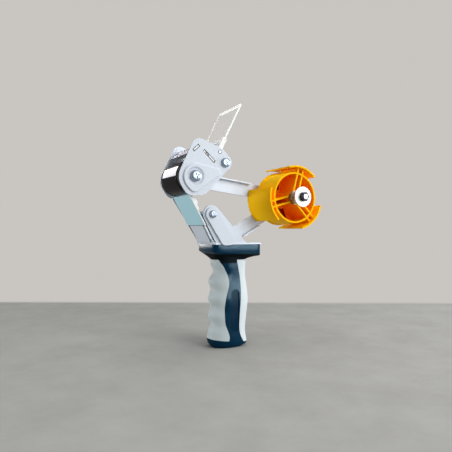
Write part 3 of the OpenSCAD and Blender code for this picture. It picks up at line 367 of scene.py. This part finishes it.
def moulded_in(tree, shader, skin, light, deep, depth_mm):
    """Dresses a shader in a moulded skin: a cloud between two tints, the skin's roughness and its
    grain of a depth in millimetres."""
    join(tree, (two_tones(tree, skin.outputs["Cloud"], light, deep), shader.inputs["Base Color"]),
         (skin.outputs["Roughness"], shader.inputs["Roughness"]))
    raise_grain(tree, shader, skin.outputs["Height"], depth_mm)


def within(tree, value, low, high, soft):
    """1 where a value lies between two limits, with soft edges, and 0 elsewhere."""
    rise = add(tree, "ShaderNodeMapRange", {"From Min": low - soft, "From Max": low + soft})
    fall = add(tree, "ShaderNodeMapRange", {"From Min": high + soft, "From Max": high - soft})
    join(tree, (value, rise.inputs["Value"]), (value, fall.inputs["Value"]))
    return times(tree, rise.outputs["Result"], fall.outputs["Result"])


def place_axes(tree):
    """The three Object coordinates of a piece as sockets."""
    place = add(tree, "ShaderNodeTexCoord")
    split = add(tree, "ShaderNodeSeparateXYZ")
    join(tree, (place.outputs["Object"], split.inputs["Vector"]))
    return split.outputs["X"], split.outputs["Y"], split.outputs["Z"]


def over(tree, mask, below, colour):
    """A colour laid over a colour socket by a mask."""
    mixer = add(tree, "ShaderNodeMix", {7: colour}, data_type="RGBA")
    join(tree, (mask, mixer.inputs[0]), (below, mixer.inputs[6]))
    return mixer.outputs[2]


crisp, soft_rim = 0.00005, 0.0001
recess_x, recess_side, recess_z = (-0.0031, 0.0075), (0.0120, 0.01486), (0.0182, 0.0651)
neck_z, neck_fade, neck_rough = (0.0942, 0.1046), 0.0009, 0.75
seam_half = 0.00022
teal_finish, tree, shader = new_finish("teal_plastic", Specular_IOR_Level=0.05)
skin = skin_of(tree, 2600.0, 60.0, 0.17, 0.27)
teal = two_tones(tree, skin.outputs["Cloud"], tint(3, 40, 62), tint(7, 47, 70))
x, y, z = place_axes(tree)
side = add(tree, "ShaderNodeMath", operation="ABSOLUTE")
matt = add(tree, "ShaderNodeMapRange", {"To Max": neck_rough})
join(tree, (y, side.inputs[0]))
# Painted shade: the recess is a darker teal than the strip round it.
recess_shade = times(tree, within(tree, side.outputs[0], *recess_side, crisp),
               times(tree, within(tree, x, *recess_x, soft_rim), within(tree, z, *recess_z, soft_rim)))
teal = over(tree, recess_shade, teal, tint(0, 35, 57))
# Painted shade: the neck under the deck is nearly black in colour; the same mask also makes it matt.
neck_shade = within(tree, z, *neck_z, neck_fade)
teal = over(tree, neck_shade, teal, tint(1, 8, 14))
teal = over(tree, within(tree, y, -seam_half, seam_half, crisp), teal, tint(2, 6, 9))
join(tree, (teal, shader.inputs["Base Color"]), (neck_shade, matt.inputs["Value"]),
     (skin.outputs["Roughness"], matt.inputs["To Min"]),
     (matt.outputs["Result"], shader.inputs["Roughness"]))
raise_grain(tree, shader, skin.outputs["Height"], 0.004)
for name in shells:
    wear(soften(name, turn=40.0), teal_finish)

# Grips. Two soft pads of light grey rubber, moulded round the front and the rear of the handle, flush
# with the side strips; the front one has four finger grooves and darker tints, which are painted shade.
# Painted shade: the front grip's tints are darker than the back grip's.
for name, light, deep in (("grip_front", tint(183, 194, 196), tint(193, 204, 207)),
                          ("grip_back", tint(198, 209, 213), tint(208, 219, 224))):
    rubber_finish, tree, shader = new_finish(name + "_rubber", Specular_IOR_Level=0.3)
    moulded_in(tree, shader, skin_of(tree, 1900.0, 45.0, 0.50, 0.62), light, deep, 0.014)
    wear(soften(name, turn=45.0), rubber_finish)


# Screws, nuts, sleeves and pins. Turned and pressed steel, zinc plated with a thin bluish passivation.
# On the hub's axle the washer is satin and the nut blackened; the spring's seat is yellow zinc,
# a deep gold that also paints in the hub's yellow reflection.
def plated_metal():
    """A group for plated or bare metal: a colour between two tints by a slow cloud, a roughness
    between two limits and fine tool marks for height, stretched by a scale for each axis."""
    group = bpy.data.node_groups.new("plated_metal", "ShaderNodeTree")
    for name in ("Bright", "Dull"):
        group.interface.new_socket(name, in_out="INPUT", socket_type="NodeSocketColor")
    group.interface.new_socket("Mark Scale", in_out="INPUT", socket_type="NodeSocketVector")
    for name in ("Cloud Scale", "Smooth", "Rough"):
        group.interface.new_socket(name, in_out="INPUT", socket_type="NodeSocketFloat")
    group.interface.new_socket("Color", in_out="OUTPUT", socket_type="NodeSocketColor")
    for name in ("Roughness", "Height"):
        group.interface.new_socket(name, in_out="OUTPUT", socket_type="NodeSocketFloat")
    start = add(group, "NodeGroupInput")
    end = add(group, "NodeGroupOutput")
    place = add(group, "ShaderNodeTexCoord")
    stretch = add(group, "ShaderNodeVectorMath", operation="MULTIPLY")
    marks = add(group, "ShaderNodeTexNoise", {"Scale": 1.0, "Detail": 3.0, "Roughness": 0.6})
    slow = add(group, "ShaderNodeTexNoise", {"Detail": 4.0, "Roughness": 0.6})
    spread = add(group, "ShaderNodeMapRange", {"From Min": 0.3, "From Max": 0.7})
    mixer = add(group, "ShaderNodeMix", data_type="RGBA")
    join(group, (place.outputs["Object"], stretch.inputs[0]),
         (start.outputs["Mark Scale"], stretch.inputs[1]),
         (stretch.outputs["Vector"], marks.inputs["Vector"]),
         (place.outputs["Object"], slow.inputs["Vector"]),
         (start.outputs["Cloud Scale"], slow.inputs["Scale"]),
         (marks.outputs["Fac"], spread.inputs["Value"]),
         (start.outputs["Smooth"], spread.inputs["To Min"]),
         (start.outputs["Rough"], spread.inputs["To Max"]), (slow.outputs["Fac"], mixer.inputs[0]),
         (start.outputs["Bright"], mixer.inputs[6]), (start.outputs["Dull"], mixer.inputs[7]),
         (mixer.outputs[2], end.inputs["Color"]), (spread.outputs["Result"], end.inputs["Roughness"]),
         (marks.outputs["Fac"], end.inputs["Height"]))
    return group


plated_group = plated_metal()
even_marks = (900.0, 900.0, 900.0)
even_cloud = 180.0


def metal_finish(name, bright, dull, smooth, rough, depth_mm, marks=even_marks, cloud=even_cloud):
    """A metal finish from the plated metal group: two tints, two limits of roughness, and tool marks
    of a depth in millimetres."""
    finish, tree, shader = new_finish(name, Metallic=1.0)
    coat = add(tree, "ShaderNodeGroup", {"Bright": bright, "Dull": dull, "Mark Scale": marks,
                                         "Cloud Scale": cloud, "Smooth": smooth, "Rough": rough},
               node_tree=plated_group)
    join(tree, (coat.outputs["Color"], shader.inputs["Base Color"]),
         (coat.outputs["Roughness"], shader.inputs["Roughness"]))
    raise_grain(tree, shader, coat.outputs["Height"], depth_mm)
    return finish


zinc_finish = metal_finish("zinc_plate", tint(168, 180, 192), tint(138, 152, 170), 0.20, 0.36, 0.008)
for name in ("handle_screws", "deck_screws", "tie_screw", "roller_screw", "guide_screw"):
    wear(soften(name, turn=30.0), zinc_finish)
for name in ("tie_nut", "roller_nut", "guide_nut", "axle_nut"):
    wear(soften(name, edge=0.3), zinc_finish)
for name in ("tie_sleeve", "roller_sleeve", "guide_sleeve", "wiper_pin"):
    wear(soften(name, edge=0.2), zinc_finish)
bright_finish = metal_finish("bright_nickel", tint(236, 238, 240), tint(222, 225, 230), 0.26, 0.40, 0.004)
wear(soften("hub_axle", edge=0.2), bright_finish)
satin_finish = metal_finish("satin_zinc", tint(230, 230, 227), tint(222, 222, 220), 0.55, 0.66, 0.004)
wear(soften("tension_washer", edge=0.2), satin_finish)
dark_finish = metal_finish("blackened_steel", tint(50, 53, 60), tint(34, 36, 42), 0.26, 0.42, 0.006)
wear(soften("tension_nut", edge=0.3), dark_finish)
# Painted reflection: the seat's yellow zinc is deepened to the gold of the hub mirrored in it.
gold_painted_reflection_finish = metal_finish("yellow_zinc_painted_reflection", tint(186, 148, 74), tint(150, 112, 50), 0.26, 0.42, 0.006)
wear(soften("spring_seat", edge=0.2), gold_painted_reflection_finish)


# Side frame, saddle and near head plate. Sheet steel, pressed and folded, with a light bluish grey
# stove enamel. The head plate's boss and the ear's rib are pressed out with soft sides. Painted shade
# darkens the punched slots, the pin hole and the strut's front rim, and the saddle's inside is a darker
# grey as painted shade.
def enamel(name, light, deep, smooth, rough):
    """A stove enamel: a slow shift between two tints, the slight ripple of a sprayed coat and a soft
    gloss. Puts out the finish, its tree, its shader and the colour socket."""
    finish, tree, shader = new_finish(name, Specular_IOR_Level=0.3)
    skin = skin_of(tree, 900.0, 35.0, smooth, rough)
    coat = two_tones(tree, skin.outputs["Cloud"], light, deep)
    join(tree, (coat, shader.inputs["Base Color"]), (skin.outputs["Roughness"], shader.inputs["Roughness"]))
    raise_grain(tree, shader, skin.outputs["Height"], 0.006)
    return finish, tree, shader, coat


def offset_from(tree, origin):
    """The way from a side-view origin to a place, as a vector socket."""
    place = add(tree, "ShaderNodeTexCoord")
    offset = add(tree, "ShaderNodeVectorMath", {1: (origin[0], 0.0, origin[1])}, operation="SUBTRACT")
    join(tree, (place.outputs["Object"], offset.inputs[0]))
    return offset.outputs["Vector"]


def distance_along(tree, origin, direction):
    """The distance of a place from an origin along a direction in the side view."""
    along = add(tree, "ShaderNodeVectorMath", {1: (direction[0], 0.0, direction[1])},
                operation="DOT_PRODUCT")
    join(tree, (offset_from(tree, origin), along.inputs[0]))
    return along.outputs["Value"]


def distance_from(tree, centre):
    """The distance of a place from a centre in the side view."""
    flat = add(tree, "ShaderNodeVectorMath", {1: (1.0, 0.0, 1.0)}, operation="MULTIPLY")
    length = add(tree, "ShaderNodeVectorMath", operation="LENGTH")
    join(tree, (offset_from(tree, centre), flat.inputs[0]), (flat.outputs["Vector"], length.inputs[0]))
    return length.outputs["Value"]


grey_enamel = tint(200, 208, 219), tint(207, 215, 226), 0.30, 0.44
strut_foot, strut_up, strut_back = (-0.0250, 0.1195), (-0.5466, 0.8374), (0.8374, 0.5466)
strut_shade_band, strut_length, strut_depth = (-0.0020, 0.0034), (0.0, 0.0550), (0.0200, 0.0275)
shade_fade, shade_end_fade = 0.0002, 0.0004
frame_finish, tree, shader, coat = enamel("grey_enamel", *grey_enamel)
y = place_axes(tree)[1]
# Painted shade: a dark band on the strut's front rim, its near face and edge.
rim = times(tree, within(tree, distance_along(tree, strut_foot, strut_back), *strut_shade_band, shade_fade),
            within(tree, distance_along(tree, strut_foot, strut_up), *strut_length, shade_end_fade))
rim = times(tree, rim, within(tree, y, *strut_depth, shade_fade))
join(tree, (over(tree, rim, coat, tint(66, 74, 82)), shader.inputs["Base Color"]))
wear(soften("side_frame", edge=0.35), frame_finish)

web_foot, web_up = (-0.0255, 0.1165), (-0.5, np.sqrt(0.75))
web_back, web_inside, saddle_half = (web_up[1], -web_up[0]), (0.0014, 0.2), 0.0202
rib_flank = (-0.0239, -0.0214, (-0.0300, 0.0, 0.1475), 0.0045, 1.5)
saddle_finish, tree, shader, coat = enamel("grey_enamel_painted_inside_shade", *grey_enamel)
y = place_axes(tree)[1]
# Painted shade: the saddle's inside, behind the web, is a darker grey.
inside = times(tree, within(tree, distance_along(tree, web_foot, web_back), *web_inside, soft_rim),
               within(tree, y, -saddle_half, saddle_half, soft_rim))
join(tree, (over(tree, inside, coat, tint(122, 131, 131)), shader.inputs["Base Color"]))
wear(soften("saddle", edge=0.35, flank=rib_flank), saddle_finish)

bar_fold = (-0.0480, 0.2198)
front_slot, rear_slot = (137.0, 0.00085, 0.00945), (42.0, 0.00805, 0.02495)
slot_half, slot_mid, slot_shade_margin = 0.00120, -0.00075, 0.00036
pivot_at = np.array([-0.0237, 0.2138])
pin_hole_shade_ring = (-0.001, 0.0021)
painted_shade_tint = tint(18, 20, 28)
boss_flank = (-0.0299, -0.0279, roller_at, 0.0085, 1.3)
plate_finish, tree, shader, coat = enamel("grey_enamel_painted_slot_shade", *grey_enamel)
# Painted shade: a dark outline round each punched slot and a dark ring round the pin hole.
for slope, first, last in (front_slot, rear_slot):
    down = np.cos(np.radians(slope)), -np.sin(np.radians(slope))
    out = abs(down[1]) * np.sign(down[0]), abs(down[0])
    slot = times(tree, within(tree, distance_along(tree, bar_fold, down), first - slot_shade_margin,
                              last + slot_shade_margin, crisp),
                 within(tree, distance_along(tree, bar_fold, out), slot_mid - slot_half - slot_shade_margin,
                        slot_mid + slot_half + slot_shade_margin, crisp))
    coat = over(tree, slot, coat, painted_shade_tint)
coat = over(tree, within(tree, distance_from(tree, pivot_at), *pin_hole_shade_ring, crisp), coat, painted_shade_tint)
join(tree, (coat, shader.inputs["Base Color"]))
wear(soften("head_plate_near", edge=0.35, flank=boss_flank), plate_finish)

# Blade bar. A steel bar folded along its length, between the two head plates. Its tabs go through
# their slots, and it has a white enamel.
bar_finish = enamel("white_enamel", tint(232, 234, 238), tint(240, 241, 244), 0.46, 0.56)[0]
wear(soften("blade_bar", edge=0.3), bar_finish)

# Front guard. A thin pressing under the roller, sprayed pale blue; the folded and notched near edge
# is painted almost white, and a dark band along the lower edge is painted shadow.
guard_shadow_band, guard_fold = (0.0210, 0.0232), (-0.0300, -0.0208)
guard_finish, tree, shader, coat = enamel("pale_blue_enamel", tint(168, 213, 226), tint(178, 221, 233),
                                          0.34, 0.46)
up_guard = distance_along(tree, web_foot, web_up)
# Painted shadow: a dark band along the guard's lower edge.
coat = over(tree, within(tree, up_guard, *guard_shadow_band, soft_rim), coat, tint(84, 96, 104))
coat = over(tree, within(tree, place_axes(tree)[1], *guard_fold, soft_rim), coat, tint(238, 241, 243))
join(tree, (coat, shader.inputs["Base Color"]))
wear(soften("front_guard", edge=0.25), guard_finish)

# Roller. A polished steel tube on two black plastic end caps. They turn together on the sleeve of the
# roller screw.
roller_finish = metal_finish("polished_tube", tint(60, 59, 61), tint(50, 49, 52), 0.05, 0.11, 0.001,
                             (60.0, 3000.0, 60.0), 30.0)
shader = roller_finish.node_tree.nodes["Principled BSDF"]
shader.inputs["Specular Tint"].default_value = (0.5, 0.5, 0.5, 1.0)
wear(soften("roller_tube", edge=0.2), roller_finish)
cap_finish, tree, shader = new_finish("black_plastic", Specular_IOR_Level=0.12)
moulded_in(tree, shader, skin_of(tree, 1800.0, 80.0, 0.35, 0.5), tint(8, 8, 10), tint(14, 14, 16), 0.012)
wear(soften("roller_end_caps", edge=0.3), cap_finish)

# Blade. A strip of hardened steel with ground teeth that cuts the tape. Rivets hold it under the front
# leg of the bar.
blade_finish = metal_finish("ground_steel", tint(176, 174, 186), tint(158, 156, 170), 0.2, 0.4, 0.004,
                            (5000.0, 300.0, 5000.0), 120.0)
wear(soften("blade", edge=0.06), blade_finish)
wear(soften("blade_rivets", edge=0.1), blade_finish)

# Wiper. A flap cut from clear plastic sheet, with two legs on the pin and a stiffening rib behind it.
# The panel is almost clear, and the cut edges, the rib and the legs are nearly opaque white; the top
# edge glows by emission, a painted light for the light the sheet carries to its edge.
wiper_lean = np.radians(26.5)
panel_half, panel_low, panel_high, panel_fade = 0.0236, 0.0172, 0.0597, 0.0003
far_rim, glow_band = (panel_half, 0.04), (panel_high, 0.08)
edge_cover, far_cover = 0.92, 0.45
clear_finish, tree, shader = new_finish("clear_plastic", Base_Color=tint(231, 232, 230),
                                        Specular_IOR_Level=0.5, Emission_Strength=1.0)
skin = skin_of(tree, 500.0, 70.0, 0.05, 0.16)
film = skin_of(tree, 900.0, 90.0, 0.05, 0.11)
y = place_axes(tree)[1]
up_flap = distance_along(tree, pivot_at, (np.sin(wiper_lean), np.cos(wiper_lean)))
panel = times(tree, within(tree, y, -panel_half, panel_half, panel_fade),
              within(tree, up_flap, panel_low, panel_high, panel_fade))
cover = add(tree, "ShaderNodeMapRange")
rim = add(tree, "ShaderNodeMapRange", {"To Min": edge_cover, "To Max": far_cover})
# Painted light: the top edge glows by emission, though it is no lamp.
painted_edge_glow = two_tones(tree, within(tree, up_flap, *glow_band, panel_fade), tint(0, 0, 0), tint(154, 154, 153))
join(tree, (within(tree, y, *far_rim, panel_fade), rim.inputs["Value"]),
     (rim.outputs["Result"], cover.inputs["To Min"]), (painted_edge_glow, shader.inputs["Emission Color"]),
     (panel, cover.inputs["Value"]), (film.outputs["Roughness"], cover.inputs["To Max"]),
     (cover.outputs["Result"], shader.inputs["Alpha"]),
     (skin.outputs["Roughness"], shader.inputs["Roughness"]))
raise_grain(tree, shader, skin.outputs["Height"], 0.002)
wear(soften("wiper", edge=0.25), clear_finish)


# Springs. The wiper's torsion spring is wound on the pin: one leg bends out through the slot of the
# head plate, the other lies behind the wiper's rib. The tension spring stands between its seat and the
# washer on the hub axle.
def wire(name, path, radius, sides=14):
    """A round wire: at each point of a path stands a circle of a radius, square to the path's
    direction, and the circles are joined into a tube with closed ends."""
    along = np.gradient(path, axis=0)
    along /= np.linalg.norm(along, axis=1)[:, None]
    out = np.cross(along, [0.3, 0.5, 0.8])
    out /= np.linalg.norm(out, axis=1)[:, None]
    turn = np.linspace(0, 2 * np.pi, sides, endpoint=False)[None, :, None]
    circle = np.cos(turn) * out[:, None] + np.sin(turn) * np.cross(along, out)[:, None]
    rings = path[:, None] + radius * circle
    corner = np.arange(rings.shape[0] * sides).reshape(-1, sides)
    after = np.roll(corner, -1, axis=1)
    quads = np.stack([corner[:-1], after[:-1], after[1:], corner[1:]], axis=-1).reshape(-1, 4)
    mesh = bpy.data.meshes.new(name)
    mesh.from_pydata(rings.reshape(-1, 3).tolist(), [],
                     quads.tolist() + [corner[0][::-1].tolist(), corner[-1].tolist()])
    mesh.polygons.foreach_set("use_smooth", np.ones(len(mesh.polygons), bool))
    piece = bpy.data.objects.new(name, mesh)
    scene.collection.objects.link(piece)
    return piece


def on_circle(centre, radius, angle, y):
    """Points at angles on a circle round a side-view centre, each at its own depth."""
    return np.column_stack([centre[0] + radius * np.cos(angle), y, centre[1] + radius * np.sin(angle)])


spring_finish = metal_finish("spring_wire", tint(206, 204, 200), tint(168, 166, 164), 0.24, 0.4, 0.006,
                             (2500.0, 2500.0, 2500.0), 220.0)
hub_at = np.array([0.0810, 0.1695])
seat_y, washer_y = -0.0202, -0.0343
tension_r, tension_wire, tension_turns = 0.0074, 0.0013, 2.5
end_gap = 0.00002
bow = np.linspace(0, np.pi / 2, 8)
bow_turn = tension_wire / tension_r
low_y, high_y = washer_y + end_gap, seat_y - end_gap
last_turn = 2 * bow_turn + 2 * np.pi * tension_turns
stand = np.linspace(0, tension_wire, 4)[:-1]
low_bow = on_circle(hub_at, tension_r, bow_turn * (1 - np.cos(bow)),
                    low_y + tension_wire * (1 + np.sin(bow)))
high_bow = on_circle(hub_at, tension_r, last_turn - bow_turn * (1 - np.cos(bow)),
                     high_y - tension_wire * (1 + np.sin(bow)))
wound = np.linspace(0, 1, 260)[1:-1]
coil = np.vstack([
    on_circle(hub_at, tension_r, np.zeros_like(stand), low_y + stand), low_bow,
    on_circle(hub_at, tension_r, bow_turn + wound * (last_turn - 2 * bow_turn),
              low_y + 2 * tension_wire + wound * (high_y - low_y - 4 * tension_wire)),
    high_bow[::-1], on_circle(hub_at, tension_r, np.full_like(stand, last_turn), high_y - stand[::-1])])
tension_coil = wire("tension_coil", coil, tension_wire / 2)
tension_coil.data.materials.append(spring_finish)
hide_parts("tension_spring")
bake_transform(tension_coil)

torsion_r, torsion_wire, torsion_pitch, torsion_y = 0.0032, 0.0009, 0.0015, -0.0175
plate_face_y = -0.0282
slot_at = np.array([-0.03973, 0.21135])
leg_bend, rib_leg_length = 0.0016, 0.017
reach = slot_at - pivot_at
coil_from = np.arctan2(reach[1], reach[0]) + np.arccos(torsion_r / np.linalg.norm(reach))
coil_to = 12 * np.pi - wiper_lean
wound = np.linspace(coil_from, coil_to, 300)
depth = torsion_y + torsion_pitch * (wound - coil_from) / (2 * np.pi)
coil = on_circle(pivot_at, torsion_r, wound, depth)
toward = coil[0, [0, 2]] - slot_at
toward /= np.linalg.norm(toward)
bent = slot_at + leg_bend * (1 - np.cos(bow))[:, None] * toward
out_y = np.linspace(plate_face_y, torsion_y - leg_bend, 12)[:-1]
slot_leg = np.column_stack([np.full_like(out_y, slot_at[0]), out_y, np.full_like(out_y, slot_at[1])])
bend = np.column_stack([bent[:, 0], torsion_y - leg_bend * (1 - np.sin(bow)), bent[:, 1]])
run = np.linspace(0, 1, 14)[1:, None]
plate_leg = bend[-1] + run[:-1] * (coil[0] - bend[-1])
rib_end = (pivot_at + torsion_r * np.array([np.cos(wiper_lean), -np.sin(wiper_lean)])
           + rib_leg_length * np.array([np.sin(wiper_lean), np.cos(wiper_lean)]))
rib_leg = coil[-1] + run * (np.array([rib_end[0], depth[-1], rib_end[1]]) - coil[-1])
torsion_coil = wire("torsion_coil", np.vstack([slot_leg, bend, plate_leg, coil, rib_leg]),
                    torsion_wire / 2)
torsion_coil.data.materials.append(dark_finish)
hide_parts("wiper_spring")
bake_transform(torsion_coil)

# Hub. Yellow plastic moulded in one piece: a drum with three fins on pairs of ribs, a boss that turns
# on the axle and a floor with pockets. Painted shade makes the drum's inside a deeper orange and the
# pockets deep red. The brake washer behind it is pressed fibre.
drum_inside, drum_depth, drum_fade, depth_fade = (-0.01, 0.0290), (-0.0185, 0.03), 0.0004, 0.002
pocket_ring, pocket_floor, ring_fade, floor_fade = (0.006, 0.0272), (0.0098, 0.0131), 0.0002, 0.0003
hub_finish, tree, shader = new_finish("yellow_plastic", Specular_IOR_Level=0.03, Subsurface_Weight=0.3,
                                      Subsurface_Radius=(1.0, 0.35, 0.04), Subsurface_Scale=0.003)
skin = skin_of(tree, 1500.0, 40.0, 0.40, 0.52)
yellow = two_tones(tree, skin.outputs["Cloud"], tint(255, 186, 3), tint(255, 196, 8))
y = place_axes(tree)[1]
radius = distance_from(tree, hub_at)
# Painted shade: the drum's inside is a deeper orange.
inside = times(tree, within(tree, radius, *drum_inside, drum_fade),
               within(tree, y, *drum_depth, depth_fade))
yellow = over(tree, inside, yellow, tint(255, 172, 5))
# Painted shade: the pockets in the floor are deep red.
pocket_shade = times(tree, within(tree, radius, *pocket_ring, ring_fade),
                within(tree, y, *pocket_floor, floor_fade))
yellow = over(tree, pocket_shade, yellow, tint(165, 28, 5))
join(tree, (yellow, shader.inputs["Base Color"]), (skin.outputs["Roughness"], shader.inputs["Roughness"]))
raise_grain(tree, shader, skin.outputs["Height"], 0.006)
wear(soften("hub", edge=0.3, turn=32.0), hub_finish)
fibre_finish, tree, shader = new_finish("brown_fibre", Specular_IOR_Level=0.3)
moulded_in(tree, shader, skin_of(tree, 2400.0, 500.0, 0.7, 0.9), tint(84, 56, 40), tint(108, 74, 54), 0.03)
wear(soften("brake_washer", edge=0.1), fibre_finish)
